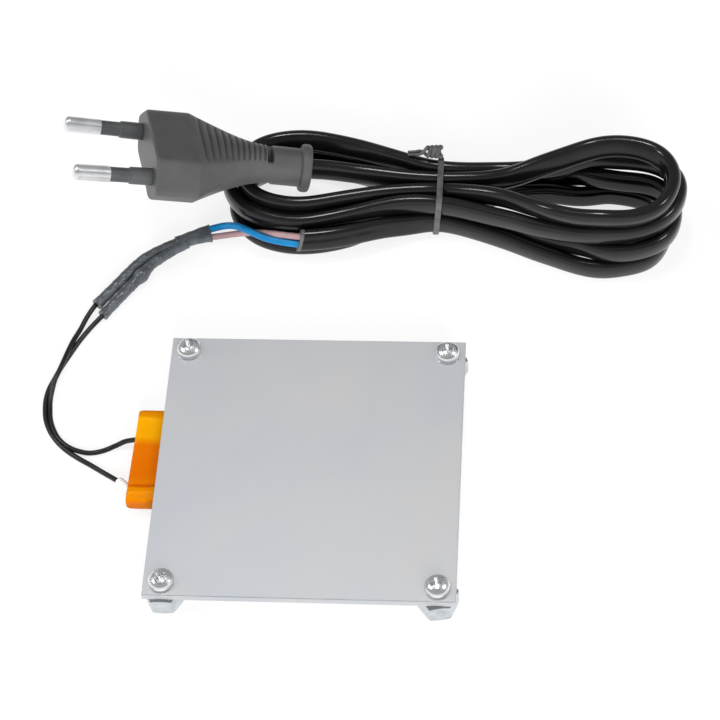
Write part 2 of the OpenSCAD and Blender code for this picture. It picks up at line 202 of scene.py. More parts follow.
def tangents(line):
    """The direction of the line at each point, of length one."""
    return unit(np.gradient(line[:, :3], axis=0))


def line_length(line):
    """The length of a line of points."""
    return float(np.linalg.norm(np.diff(line[:, :3], axis=0), axis=1).sum())


# %% [markdown]
# ## The mains cable
# The cable is flat, 5.6 mm wide and 3.5 mm thick, with round edges. It is wound round and
# round, then pinched in its middle by a tie: four loops on the right, three on the left. It
# stands on its edge where it bends, because it bends easily across its thin side only.
#
# A simulation could wind it, but then no turn would lie where the photograph has it. So
# the turns are worked out by a loop from a small table. Each row is one half turn: where
# it leaves the tie, how far out it reaches, and where it comes back.

# %% The hank as a table of half turns
TIE_X = 29.7
CABLE_W, CABLE_T = 5.6, 3.5
# a half turn: y and z where it leaves the tie, y and z at three places of the run out,
# the tip, y and z at the same places of the run back, y and z where it arrives, and how
# many degrees its wide side leans outwards on the way out, at the tip and on the way back
RIGHT_X = (45.7, 57.0, 72.5)
RIGHT_TURNS = [
    ((82.6, 9.1), ((82.0, 10.7), (83.5, 15.2), (86.8, 18.1)), (87.2, 75.7, 18.2),
     ((74.6, 12.8), (66.6, 17.0), (63.4, 18.2)), (79.0, 9.1), (40, 8, 12)),
    ((86.0, 9.1), ((86.3, 8.2), (85.7, 10.7), (86.9, 12.9)), (89.0, 79.0, 12.9),
     ((69.7, 10.8), (65.45, 12.5), (62.8, 12.9)), (75.0, 9.1), (8, 0, 6)),
    ((86.0, 3.5), ((86.8, 3.3), (86.7, 3.4), (84.0, 7.5)), (88.0, 75.5, 7.8),
     ((73.0, 3.1), (67.5, 3.9), (61.2, 7.7)), (78.2, 3.5), (8, 0, 6)),
    ((82.0, 3.5), ((82.9, 2.9), (85.0, 2.8), (84.0, 2.8)), (86.6, 73.4, 2.8),
     ((69.4, 3.1), (65.2, 2.8), (61.1, 2.8)), (74.2, 3.4), (8, 0, 6)),
]
LEFT_X = (17.0, 7.0, -6.0)
LEFT_TURNS = [
    ((79.0, 9.1), ((78.4, 8.8), (76.8, 8.4), (74.6, 8.3)), (-20.8, 86.3, 8.0),
     ((90.0, 8.8), (93.5, 8.4), (95.8, 8.4)), (86.1, 9.1), (-4, -6, 40)),
    ((75.3, 9.1), ((74.7, 8.4), (72.5, 7.3), (70.3, 6.8)), (-22.7, 83.2, 6.2),
     ((90.2, 3.2), (94.2, 2.9), (97.0, 3.0)), (86.0, 3.5), (0, 0, 25)),
    ((78.2, 3.5), ((75.6, 2.2), (70.0, 1.9), (67.9, 1.8)), (-20.6, 80.5, 1.8),
     ((86.4, 3.2), (89.8, 2.8), (91.9, 2.8)), (82.0, 3.5), (-84, -84, -10)),
]
# how near the shoulders of a turn are to its tip: 0.71 would be an oval's
RIGHT_ROUND, LEFT_ROUND = 0.74, 0.70
# how much of the lean the cable has at the three places of a run
LEAN_SHARES = (0.5, 1, 1)
# from the plug to the tie, and from the tie to the cut end
PLUG_LEAN, CUT_LEAN = 8, -22
PLUG_RUN = [
    (-2.8, 84.2, 11.4), (2, 84.6, 10.6), (9, 84.3, 9.6), (15, 83.7, 9.3), (21, 83.0, 9.1),
]
CUT_RUN = [
    (22.9, 72.9, 4.2), (17, 71.0, 5.2), (7.2, 67.4, 6.1), (1.0, 66.1, 6.2), (-5.0, 65.6, 6.2),
]
STEP, SMOOTHING = 0.8, 14


def half_turn(row, xs, roundness):
    """Points of one half turn: out from the tie, round the tip on two quarter ovals, and back.

    A shoulder lies at the share roundness of the way: in x from the run to the tip, and in y
    from the tip to the run; its height is the mean of the two.
    """
    leave, out, (tip_x, tip_y, tip_z), back, arrive, lean = row
    belly = xs[2]
    shoulders = [
        (belly + (tip_x - belly) * roundness, tip_y + (y - tip_y) * roundness, (z + tip_z) / 2)
        for y, z in (out[2], back[2])
    ]
    points = [(TIE_X, *leave, 0)]
    points += [(x, y, z, lean[0] * share) for x, (y, z), share in zip(xs, out, LEAN_SHARES)]
    points += [(*shoulders[0], lean[0]), (tip_x, tip_y, tip_z, lean[1]), (*shoulders[1], lean[2])]
    inbound = list(zip(xs, back, LEAN_SHARES))[::-1]
    points += [(x, y, z, lean[2] * share) for x, (y, z), share in inbound]
    return points + [(TIE_X, *arrive, 0)]


route = [(*p, PLUG_LEAN) for p in PLUG_RUN]
for i, right in enumerate(RIGHT_TURNS):
    route += half_turn(right, RIGHT_X, RIGHT_ROUND)
    if i < len(LEFT_TURNS):
        route += half_turn(LEFT_TURNS[i], LEFT_X, LEFT_ROUND)[1:-1]
route += [(*p, CUT_LEAN) for p in CUT_RUN]
drawn_line = soften(smooth_line(route, STEP), SMOOTHING)
print("drawn length, mm:", round(line_length(drawn_line), 1))

# %% [markdown]
# Two drawn turns may still share a little room, where real ones push each other aside. A
# rigid-body simulation could do that, but it would move everything else too. So only the
# touching stretches move: the cable is a strip with round edges, and where two strips are
# nearer than it is thick, each moves half the missing way. The move is spread along the
# stiff cable, and nothing sinks into the floor.

# %% Turns that touch push each other aside
# stretches nearer than this along the cable are one bend, and aren't compared, in mm
ONE_BEND = 14.0
# how many points a push is spread over, and how straight along the cable it may point
STIFFNESS, SIDE_ON = 17, 0.5


def cable_axes(line):
    """Along, wide side and thin side of the cable at each point.

    wide is upright, square to the cable, and turned to the side by the lean, which is the
    line's fourth column, in degrees.
    """
    t = tangents(line)
    flat = unit(np.cross([0.0, 0.0, 1.0], t))
    lean = np.radians(line[:, 3])[:, None]
    wide = np.cos(lean) * np.cross(t, flat) + np.sin(lean) * flat
    return t, wide, np.cross(wide, t)


def settle(line, hold, rounds=60, reach=11.0):
    """Pushes apart stretches of one line that lie in each other, and lifts it off the floor.

    Of the way from one to the other, the part along the wide side they share counts only
    past the flat part of both. Where the rest is shorter than the thickness, each moves half
    of the difference along it. A point's pushes are averaged, spread along the line by a
    bell curve, and multiplied by hold, which is 0 at the cable's two ends.
    """
    line = line.copy()
    straight = (CABLE_W - CABLE_T) / 2
    run = np.arange(len(line)) * STEP
    pairs = np.argwhere(np.triu(run[None] - run[:, None] > ONE_BEND))
    near = np.linalg.norm(line[pairs[:, 0], :3] - line[pairs[:, 1], :3], axis=1) < reach
    i, j = pairs[near].T
    spread = np.hanning(STIFFNESS)[1:-1]
    spread /= spread.sum()
    for _ in range(rounds):
        t, wide, _thin = cable_axes(line)
        way = line[j, :3] - line[i, :3]
        shared = unit(wide[i] + np.sign((wide[i] * wide[j]).sum(1))[:, None] * wide[j])
        high = (way * shared).sum(1)
        past = np.sign(high) * np.maximum(np.abs(high) - 2 * straight, 0)
        way += (past - high)[:, None] * shared
        gap = np.linalg.norm(way, axis=1)
        way /= gap[:, None]
        side_on = np.abs((t[i] * way).sum(1)) < SIDE_ON
        push = np.where(side_on, np.maximum(CABLE_T - gap, 0), 0)[:, None] * way / 2
        deep = (np.abs(push).sum(1) > 0).astype(float)
        move = np.zeros((len(line), 3))
        hits = np.zeros(len(line))
        for end, way_out in ((i, -push), (j, push)):
            np.add.at(move, end, way_out)
            np.add.at(hits, end, deep)
        move /= np.maximum(hits, 1)[:, None]
        move = np.stack([np.convolve(m, spread, "same") for m in move.T], axis=1)
        line[:, :3] += move * hold[:, None]
        half_height = CABLE_T / 2 + straight * np.abs(wide[:, 2])
        line[:, 2] += np.maximum(half_height - line[:, 2], 0)
    return line


# the first 10 points stay in the plug and the last 4 at the cut, then the hold lets go over 20
from_start = np.arange(len(drawn_line))
let_go = np.clip(np.minimum(from_start - 10, from_start[::-1] - 4) / 20.0, 0, 1)
cable_line = soften(settle(drawn_line, let_go), 3)
moved = np.abs(cable_line - drawn_line)[:, :3].max()
print("most that a turn moved, mm:", round(float(moved), 2))
cable_line[:, :3] *= MM
print("mains cable, m:", round(line_length(cable_line), 3))

# %% [markdown]
# The section is two half circles joined by straight sides, carried along the line with its
# long side on the wide direction. The cut end is a little oblique, with a thin lip and a
# dull face where the blade went through.

# %% The cable's cross-section, carried along its line
CABLE_SIDES = 28
# how far the cut leans back per height, over how many rings, and the rows of its lip: how
# large each is beside the cable's end, and how far out of it, in mm
CUT_SLANT, CUT_RINGS = 0.34, 5
LIP = [(0.995, -0.75), (1.012, -0.5), (1.012, 0.0), (0.96, 0.06), (0.80, 0.06)]


def around(count):
    """Angles at even steps round a full turn."""
    return np.linspace(0, 2 * np.pi, count, endpoint=False)


def flat_section(width, thickness):
    """A rounded flat shape: two half circles joined by straight sides.

    across is r cos a; along is r sin a plus half the straight part times tanh(4 sin a), which
    is nearly 1 on one side and -1 on the other and changes over softly between them.
    """
    angle = around(CABLE_SIDES)
    r, straight = thickness / 2, (width - thickness) / 2
    across = r * np.cos(angle)
    along = r * np.sin(angle) + straight * np.tanh(4 * np.sin(angle))
    return across, along


def carried_rings(line, across, along):
    """Rings of a section: the line's point plus across times thin plus along times wide."""
    _t, wide, thin = cable_axes(line)
    across, along = np.atleast_2d(across)[..., None], np.atleast_2d(along)[..., None]
    return line[:, None, :3] + across * thin[:, None] + along * wide[:, None]


cable_rings = carried_rings(cable_line, *flat_section(CABLE_W * MM, CABLE_T * MM))
# the last rings slide back along the cable towards their top
inwards = (cable_line[-2, :3] - cable_line[-1, :3]) / (STEP * MM)
for back, ring in enumerate(cable_rings[: -CUT_RINGS - 1 : -1]):
    height = ring[:, 2] - ring[:, 2].min()
    ring += inwards * (CUT_SLANT * (1 - back / CUT_RINGS) * height)[:, None]
cable_nodes = ("cable_hank", "cable_plug_run", "cable_cut_run")
mains_cable = skin("mains_cable", cable_rings, cable_nodes)
cut_end = cable_rings[-1]
middle = cut_end.mean(0)
lip_rings = [middle + grow * (cut_end - middle) - out * MM * inwards for grow, out in LIP]
skin("cable_cut_face", np.stack(lip_rings))

# %% [markdown]
# ## Round wires
# The two leads, the short white sleeve and the two cores are round. A round wire is a
# circle carried along its line, and a heat-shrink sleeve is the same with a radius that
# changes along the way. The leads' points were read off the photograph, and their heights
# follow from what carries them: the floor, and the other lead where they cross.

# %% Round wires and sleeves
WIRE_SIDES = 20


def centre_line(points, step=0.5):
    """A smooth line through points in millimetres, given back in metres, with no lean."""
    line = smooth_line([(*p, 0.0) for p in points], step)
    line[:, :3] *= MM
    return line


def round_rings(line, radii):
    """Circles of the given radii, in millimetres, carried along a line."""
    angle = around(WIRE_SIDES)
    radii = np.broadcast_to(radii, len(line))[:, None] * MM
    return carried_rings(line, radii * np.cos(angle), radii * np.sin(angle))


LEAD_RADIUS, WHITE_RADIUS = 0.62, 1.08
# from the core's end to the sleeve over the joint
LEAD_BACK = [
    (-38.5, 8.6, 3.2), (-41.5, 9, 1.6), (-43.9, 8.2, 0.8), (-46.6, 6.9, 0.65), (-49.7, 6.2, 0.65),
    (-52.6, 6.7, 0.65), (-55.1, 7.8, 0.65), (-57.4, 9.7, 0.65), (-59.2, 12.5, 0.65),
    (-60.3, 15.3, 0.65), (-60.8, 18.1, 0.65), (-61.1, 20.9, 0.8), (-60.9, 23.4, 1.3),
    (-60.5, 25.9, 1.9), (-59.7, 28.8, 2), (-59, 31.8, 1.9), (-58.4, 35, 1.5), (-57.6, 38.3, 1.1),
    (-56.5, 41.4, 0.9), (-55.1, 45.6, 1), (-53.3, 49.4, 1.15), (-52.4, 51.2, 1.15),
]
LEAD_FRONT = [
    (-38.5, -5.2, 3.2), (-40.2, -3.6, 2.6), (-41.8, -2.1, 1.8), (-45.6, 0.6, 0.9),
    (-49.2, 2.9, 0.65), (-52.3, 4.7, 0.65), (-55.5, 6.9, 0.65), (-58.1, 9.4, 0.65),
    (-60.1, 12.2, 0.65), (-61.4, 15.2, 0.65), (-62, 18.1, 0.65), (-62.2, 20.9, 0.65),
    (-61.9, 23.8, 0.65), (-61, 26.8, 0.65), (-60, 29.7, 0.65), (-58.8, 32.6, 0.65),
    (-57.5, 35.6, 0.65), (-56.05, 38.7, 0.65), (-54.1, 42, 0.8), (-52.6, 44.1, 1),
    (-51.1, 46.1, 1.15), (-50.2, 47.8, 1.15),
]
lead_lines = {"lead_back": centre_line(LEAD_BACK), "lead_front": centre_line(LEAD_FRONT)}
for name, line in lead_lines.items():
    skin(name + "_wire", round_rings(line, LEAD_RADIUS), (name,))
    print(name, "is", round(line_length(line) / MM, 1), "mm long")

SLEEVE = [(-38.2, -5.5, 3.3), (-39.2, -4.6, 3.0), (-40.2, -3.6, 2.6), (-41.5, -2.3, 2.1)]
white_line = centre_line(SLEEVE, 0.15)
# braid swells and thins a little along the way
radii = WHITE_RADIUS + 0.04 * np.sin(np.linspace(0, 30, len(white_line)))
white_rings = round_rings(white_line, radii)
white_sleeve = skin("white_sleeve", white_rings, ("lead_sleeve",))

# %% [markdown]
# ## Heat-shrink sleeves
# Each lead is joined to a core of the mains cable inside a dark heat-shrink sleeve, and a
# third, wider sleeve holds both. A plain tube would look machined. A real sleeve shrinks
# unevenly: it swells over the joint, ripples, and stays a little open at its cut ends, so
# its radius is the sum of those effects.

# %% Sleeves over the joints


def shrunk_rings(line, radius, swell, where, spread=4.0):
    """Rings whose radius has a bulge at a share of the length, small ripples, and flared ends.

    The bulge is a bell curve, a ripple is a sine, and a flare dies away as an exponential.
    """
    run = np.linspace(0, line_length(line) / MM, len(line))
    bulge = swell * np.exp(-(((run - where * run[-1]) / spread) ** 2))
    ripple = 0.035 * np.sin(run * 1.9) + 0.025 * np.sin(run * 4.3 + 1.0)
    flare = 0.08 * (np.exp(-run / 0.8) + np.exp(-(run[-1] - run) / 0.8))
    return round_rings(line, radius + bulge + ripple + flare)


BACK_JOINT = [
    (-53.1, 48.7, 1.45), (-49.5, 53.8, 1.5), (-46.0, 58.8, 1.55), (-42.7, 62.6, 1.75),
    (-39.7, 64.9, 1.85), (-36.3, 67.0, 1.85), (-33.1, 68.8, 1.8),
]
FRONT_JOINT = [
    (-51.3, 45.5, 1.4), (-48.2, 50.2, 1.45), (-45.2, 54.6, 1.5), (-42.7, 58.0, 1.9),
    (-41.0, 60.6, 2.0), (-38.4, 63.2, 1.95), (-35.6, 65.6, 1.9), (-32.7, 67.7, 1.8),
]
SLEEVE_STEP = 0.3
back_rings = shrunk_rings(centre_line(BACK_JOINT, SLEEVE_STEP), 1.4, 0.1, 0.55)
splice_back = skin("splice_back_sleeve", back_rings, ("splice_back",))
front_rings = shrunk_rings(centre_line(FRONT_JOINT, SLEEVE_STEP), 1.3, 0.55, 0.5, 1.7)
splice_front = skin("splice_front_sleeve", front_rings, ("splice_front",))
# x, y, z and lean: the shared sleeve's wide side lies down
SHARED = [
    (-35.2, 67.6, 1.75, 86), (-32.6, 68.9, 1.8, 88), (-30.2, 69.9, 1.8, 88),
    (-28.7, 70.5, 1.8, 88), (-27.0, 71.0, 1.75, 88),
]
shared_line = smooth_line(SHARED, SLEEVE_STEP)
shared_line[:, :3] *= MM
share = np.linspace(0, 1, len(shared_line))
# in mm: it widens towards the two cores and is thickest where it holds both joints
widths = 3.5 + 1.6 * share ** 2 + 0.3 * np.exp(-share * 9) + 0.08 * np.sin(20 * share)
heights = 3.1 - 0.7 * share + 0.06 * np.sin(17 * share + 1)
sections = flat_section(widths[:, None] * MM, heights[:, None] * MM)
shared_rings = carried_rings(shared_line, *sections)
shared_sleeve = skin("shared_sleeve", shared_rings, ("splice_shared",))

# %% [markdown]
# ## The two cores
# Past the shared sleeve the blue and the brown core run side by side, cross, and go into
# the cut end of the cable. They are round wires like the leads, a little thicker.

# %% Blue and brown cores
BLUE_RADIUS, BROWN_RADIUS = 0.9, 0.8
BLUE = [
    (-28.5, 71.7, 1.9), (-26.8, 72.1, 2.2), (-23.4, 72.2, 3.3), (-20.2, 70.8, 5.0),
    (-16.6, 68.4, 6.1), (-12.7, 66.6, 5.9), (-8.9, 65.8, 5.5), (-3.0, 65.1, 5.2),
]
BROWN = [
    (-28.4, 69.9, 1.7), (-26.6, 69.8, 1.8), (-23.3, 69.9, 2.4), (-20.1, 69.7, 3.4),
    (-16.6, 69.2, 4.5), (-12.7, 68.3, 5.6), (-8.9, 67.1, 6.6), (-3.0, 66.0, 7.1),
]
blue_rings = round_rings(centre_line(BLUE), BLUE_RADIUS)
blue_core = skin("blue_core", blue_rings, ("wire_blue",))
brown_rings = round_rings(centre_line(BROWN), BROWN_RADIUS)
brown_core = skin("brown_core", brown_rings, ("wire_brown",))

# %% [markdown]
# ## The tie
# A coated wire is pulled tight round the middle of the hank. A tight band takes the shape
# of the convex hull of what it holds, and that is easy to get: for each direction, how far
# out does any point of the cable reach? The band lies half its own thickness past that. A
# ring shrunk on to the hank would give nearly the same line, with less control.

# %% The strap round the waist
STRAP_W, STRAP_T = 1.5, 0.66
# how square the strap's section is (1 is an ellipse), and how far it leans along the hank
STRAP_POWER, STRAP_SLANT = 0.7, 0.10


def squared_off(value, power):
    """The value's size to a power, with its own sign: a power below 1 squares off an ellipse."""
    return np.sign(value) * np.abs(value) ** power


def tight_loop(points, gap, count):
    """The line round 2-D points at a gap: reach times out plus its slope times sideways."""
    angle = around(720)
    out = np.stack([np.cos(angle), np.sin(angle)], axis=1)
    reach = (points @ out.T).max(axis=0) + gap
    slope = (np.roll(reach, -1) - np.roll(reach, 1)) / (angle[2] - angle[0])
    loop = reach[:, None] * out + slope[:, None] * np.stack([-out[:, 1], out[:, 0]], axis=1)
    loop = np.column_stack([np.vstack([loop, loop[:1]]), np.zeros(len(loop) + 1)])
    return even_steps(loop, line_length(loop) / count)[:-1, :2]


skin_points = cable_rings.reshape(-1, 3)
at_tie = np.abs(skin_points[:, 0] - TIE_X * MM) < STRAP_W * MM
loop = tight_loop(skin_points[at_tie, 1:] / MM, STRAP_T / 2, 160)
for _ in range(3):
    loop = (np.roll(loop, 1, 0) + 2 * loop + np.roll(loop, -1, 0)) / 4
side = unit(np.roll(loop, -1, 0) - np.roll(loop, 1, 0))
outward = np.column_stack([side[:, 1], -side[:, 0]])
angle = around(24)
rise = STRAP_T / 2 * squared_off(np.sin(angle), STRAP_POWER)
span = STRAP_W / 2 * squared_off(np.cos(angle), STRAP_POWER)
slant = STRAP_SLANT * (loop[:, 1] - loop[:, 1].mean())
strap_rings = np.empty((len(loop), len(angle), 3))
strap_rings[..., 0] = TIE_X + slant[:, None] + span[None]
strap_rings[..., 1:] = loop[:, None] + rise[None, :, None] * outward[:, None]
strap_rings[..., 2] = np.maximum(strap_rings[..., 2], 0.02)
tie_strap = skin("tie_band", strap_rings[:, ::-1] * MM, ("tie_strap",), closed=True)

# %% [markdown]
# The two ends of the tie are twisted round each other into a small knot on top, and both
# tails then lie to the left. Each strand runs along a helix, half a turn from the other,
# round one short line along the hank.

# %% The knot and its tail
KNOT_TURNS, KNOT_R, STRAND_R = 1.6, 1.1, 0.66
# where the knot starts, how long it is, and how much thinner a strand is at its end, in mm
KNOT_AT, KNOT_LONG, STRAND_THINS = (30.2, 88.0, 13.9), 3.3, 0.34
# the tail's middle line, and how far a strand lies beside it
TAIL, TAIL_APART = [(25.2, 88.1, 13.4), (23.8, 88.3, 13.0), (22.0, 88.6, 12.5)], 0.45


def knot_strand(start):
    """A helix round a line along X from the strap's top, then a tail that settles to the left.

    On the helix x falls evenly, and y and z are the radius times cosine and sine of the turn.
    """
    x, y, z = KNOT_AT
    u = np.linspace(0, 1, 40)
    turn = start + 2 * np.pi * KNOT_TURNS * u
    coil = [x - KNOT_LONG * u, y + KNOT_R * np.cos(turn), z + KNOT_R * np.sin(turn), 0 * u]
    side = TAIL_APART * math.cos(start)
    tail = [(x, y + side, z, 0) for x, y, z in TAIL]
    return smooth_line(np.vstack([np.column_stack(coil), tail]), 0.15)


def upright_rings(line, radii):
    """Circles carried along a line that also climbs: cos a times an axis square to the line
    and nearly to X, plus sin a times the axis square to both."""
    t = tangents(line)
    one = unit(np.cross(t, [1.0, 0.05, 0.02]))
    two = np.cross(t, one)
    angle = around(WIRE_SIDES)
    circle = np.cos(angle)[:, None] * one[:, None] + np.sin(angle)[:, None] * two[:, None]
    return line[:, None, :3] + radii[:, None, None] * circle


strands, faces, first = [], [], 0
for start in (0.4, 0.4 + np.pi):
    line = knot_strand(start)
    rows = len(line)
    radii = STRAND_R - STRAND_THINS * np.linspace(0, 1, rows) ** 1.5
    strands.append(upright_rings(line, radii).reshape(-1, 3) * MM)
    faces += (np.array(ring_faces(rows, WIRE_SIDES)) + first).tolist()
    faces += caps(rows, WIRE_SIDES, first)
    first += rows * WIRE_SIDES
tie_ends = new_piece("tie_twist", np.vstack(strands), faces, ("tie_ends",))

# %% [markdown]
# ## The plug
# The plug is moulded round the cable in soft vinyl: a flat six-sided block with rounded
# edges, which narrows to a ribbed neck, bent a little by the cable, and ends in a collar.
# Such plugs follow a standard, which gives the photograph its scale.

# %% The plug's sizes, in mm
PLUG_W, PLUG_T, PLUG_FLAT, BLOCK_L = 33.6, 12.6, 20.8, 10.8
NECK_R, NECK_SPAN, NECK_END, PLUG_END = 4.8, 19.0, 30.5, 41.0
COLLAR_R, COLLAR_L = 6.0, 2.6
GROOVES, GROOVE_FROM, GROOVE_TO, GROOVE_DEPTH = 11, 11.8, NECK_END - 0.9, 0.64
# how wide a groove is and how much they crowd towards the collar, as shares
GROOVE_WIDTH, CROWDING = 0.17, 0.28
# the slit in the neck: its middle, half its width, and its depth
SLIT_AT, SLIT_HALF, SLIT_DEPTH = NECK_END - 0.05, 0.68, 2.9
# how round the edge of the front face is, and how sharp the hexagon's corners are
FRONT_ROUND, SHARPNESS = 0.9, 22
# how fast the width and the thickness narrow along the neck: 1 would be a straight line
NARROWS_W, NARROWS_T = 1.6, 1.1
# grooves reach this many degrees from the top, and more on the block; they end over a few
GROOVE_REACH, GROOVE_REACH_MORE, GROOVE_FADE = 42, 17, 1.5
PLUG_SIDES = 160

# %% [markdown]
# It could be carved from a box, but a plug is really a section that changes along an axis.
# So each ring is worked out from its distance to the front face: a rounded hexagon turns
# into a circle, grooves and one deep slit are cut into the top and the bottom, and a collar
# swells at the end.

# %% The plug's section at each distance from its front face


def smooth_hexagon(angle):
    """Distance to a flat hexagon's edge: the smaller of its top's and its flank's.

    The smaller of two numbers is nearly the sum of their high negative powers, taken back by
    the same power, and that rounds the corner. The small numbers keep both finite.
    """
    up = np.sqrt(np.sin(angle) ** 2 + 0.0016)
    across = np.sqrt(np.cos(angle) ** 2 + 0.0004)
    top = PLUG_T / 2 / up
    flank = PLUG_W / 2 / (across + (PLUG_W - PLUG_FLAT) / PLUG_T * up)
    return (top ** -SHARPNESS + flank ** -SHARPNESS) ** (-1 / SHARPNESS)


def section_at(s, angle):
    """The ring at s: hexagon times m plus circle times 1 - m; m falls from 1 to 0."""
    m = np.clip(1 - np.maximum(0, s - BLOCK_L) / NECK_SPAN, 0, 1)[:, None]
    half_w = NECK_R + (PLUG_W / 2 - NECK_R) * m ** NARROWS_W
    half_t = NECK_R + (PLUG_T / 2 - NECK_R) * m ** NARROWS_T
    block = smooth_hexagon(angle)[None]
    far = (m * block * 2 / PLUG_W + 1 - m) * half_w * np.cos(angle)
    up = (m * block * 2 / PLUG_T + 1 - m) * half_t * np.sin(angle)
    return np.stack([far, up], axis=-1), m


def groove_share(angle, m):
    """1 on the ribbed top and bottom, 0 on the smooth flanks, and an S-shaped step between."""
    from_top = np.degrees(np.abs(np.arcsin(np.abs(np.sin(angle))) - np.pi / 2))[None]
    return 1 / (1 + np.exp((from_top - GROOVE_REACH - GROOVE_REACH_MORE * m) / GROOVE_FADE))


def growth_at(s, angle, m):
    """How far the skin stands from the plain section: rounded front, grooves and slit.

    The front edge is a quarter circle, a groove a bell curve across s, and the slit a bell
    with a flat bottom and steep sides.
    """
    edge = np.maximum(FRONT_ROUND - s, 0)
    front = -FRONT_ROUND + np.sqrt(np.maximum(FRONT_ROUND ** 2 - edge ** 2, 0))
    u = np.clip((s - GROOVE_FROM) / (GROOVE_TO - GROOVE_FROM), 0, 1)
    phase = GROOVES * ((1 - CROWDING) * u + CROWDING * u ** 2)
    cut = np.exp(-(((phase % 1 - 0.5) / GROOVE_WIDTH) ** 2)) * (u > 0) * (u < 1)
    slit = np.exp(-(((s - SLIT_AT) / SLIT_HALF) ** 6))
    share = groove_share(angle, m)
    grooves = share * (GROOVE_DEPTH * cut)[:, None]
    return front[:, None] - grooves - np.sqrt(share) * SLIT_DEPTH * slit[:, None]


# %% [markdown]
# The rings lie close together where the ribs are and far apart on the plain block. They are
# found with the axis along x, and only then is the whole plug bent and turned into its
# place on the hank, so its shape stays easy to read and to change.

# %% The plug's rings in a plain frame
angle = around(PLUG_SIDES)
s = np.concatenate([
    FRONT_ROUND - FRONT_ROUND * np.cos(np.linspace(0, np.pi / 2, 8)),
    np.arange(1.5, BLOCK_L, 0.8),
    np.arange(BLOCK_L, NECK_END, 0.11),
    np.arange(NECK_END, PLUG_END - COLLAR_L, 0.15),
])
ring, m = section_at(s, angle)
size = np.linalg.norm(ring, axis=2)
ring *= ((size + growth_at(s, angle, m)) / size)[..., None]
# the collar is a rounded bead: half an oval turned about the axis, a little squared off
turn = np.linspace(np.pi, 0, 17)
collar_s = PLUG_END - COLLAR_L / 2 + COLLAR_L / 2 * squared_off(np.cos(turn), 0.8)
collar_r = NECK_R + (COLLAR_R - NECK_R) * np.sin(turn) ** 0.55
collar = collar_r[:, None, None] * np.stack([np.cos(angle), np.sin(angle)], axis=-1)[None]
s = np.concatenate([s, collar_s])
ring = np.vstack([ring, collar])
print("rings of the plug:", len(ring))

# %% [markdown]
# The neck bends as a parabola: the axis moves aside with the square of the way along it,
# and each ring leans with its slope, to stay square to the axis.

# %% The plug bent, turned and put in place
# how far the axis has moved to the far side and up at its end, and where the bend starts
BEND, BEND_FROM = np.array([-2.1, 1.15]), 12
bend_long = PLUG_END - BEND_FROM
bent = np.maximum(0, (s - BEND_FROM) / bend_long)
offset = BEND * (bent ** 2)[:, None]
slope = 2 * BEND * (bent / bend_long)[:, None]
local = np.empty((*ring.shape[:2], 3))
local[..., 0] = s[:, None] - (ring * slope[:, None]).sum(axis=2)
local[..., 1:] = ring + offset[:, None]


def turned(*angles):
    """The turn about X, then Y, then Z by three angles in degrees, as one matrix."""
    matrix = np.eye(3)
    for axis, angle in enumerate(angles):
        c, s = math.cos(math.radians(angle)), math.sin(math.radians(angle))
        turn, a, b = np.eye(3), (axis + 1) % 3, (axis + 2) % 3
        turn[[a, a, b, b], [a, b, a, b]] = c, -s, s, c
        matrix = turn @ matrix
    return matrix


# the middle of the front face, in mm, and the plug's turns, in degrees
PLUG_AT, PLUG_TURN = np.array([-41.1, 78.4, 23.6]), turned(-13, 19.6, 11.2)
plug_rings = (local @ PLUG_TURN.T + PLUG_AT)[:, ::-1] * MM
plug = skin("plug_moulding", plug_rings, ("plug_body", "plug_collar"))
print("cable leaves the plug at, mm:", np.round(PLUG_TURN @ [PLUG_END, *BEND] + PLUG_AT, 1))

# %% [markdown]
# ## The wrapped heating core
# The heating core is a flat bar, wound in amber polyimide film. The film is thin and stiff:
# it keeps soft steps where one layer ends under the next, and a few sharp creases where it
# was folded over at the end. A simulated cloth would do the same with more work. Here the
# bar is a rounded rectangle carried along its length, and each step or crease is a small
# change of height across it.

# %% The film round the core
CORE_X, CORE_Y, CORE_Z = (-38.5, 31.5), (-9.3, 15.9), (1.1, 5.3)
# across the bar: where a crease lies, how high it stands, how wide it is, and its slant
CREASES = [
    (-6.9, 0.16, 0.5, 0.05), (-3.1, 0.14, 0.35, -0.10), (-2.4, -0.10, 0.5, 0.02),
    (2.0, 0.10, 1.8, 0.3), (5.9, -0.12, 1.0, 0.25), (9.8, 0.10, 1.4, -0.2),
    (13.6, 0.10, 0.5, 0.0),
]
# powers that square off an ellipse into the bar's section: the smaller, the flatter
FLAT_Y, FLAT_Z = 0.10, 0.24
# how much thinner and narrower the bar is at its very end, as shares
END_THINNER, END_NARROWER = 0.30, 0.012
# the last lap of film stands out a little at the end of the bar, in front of LAP_Y
LAP_Y, LAP_OUT = -5.0, 0.45


def creases(x, y):
    """The sum of soft ridges across the bar: bell curves round lines that run along it."""
    total = np.zeros_like(y)
    for at, height, width, slant in CREASES:
        total += height * np.exp(-(((y - at - slant * (x - CORE_X[0])) / width) ** 2))
    return total


rows, sides = 90, 160
x = CORE_X[0] + (CORE_X[1] - CORE_X[0]) * np.linspace(0, 1, rows) ** 1.8
angle = around(sides)
half_y, half_z = (CORE_Y[1] - CORE_Y[0]) / 2, (CORE_Z[1] - CORE_Z[0]) / 2
corner, edge = squared_off(np.cos(angle), FLAT_Y), squared_off(np.sin(angle), FLAT_Z)
from_end = x - CORE_X[0]
thin = 1 - END_THINNER * np.exp(-from_end / 0.35)
narrow = 1 - END_NARROWER * np.exp(-from_end / 0.3)
y = (CORE_Y[0] + CORE_Y[1]) / 2 + half_y * corner[None] * narrow[:, None]
z = (CORE_Z[0] + CORE_Z[1]) / 2 + half_z * thin[:, None] * edge[None]
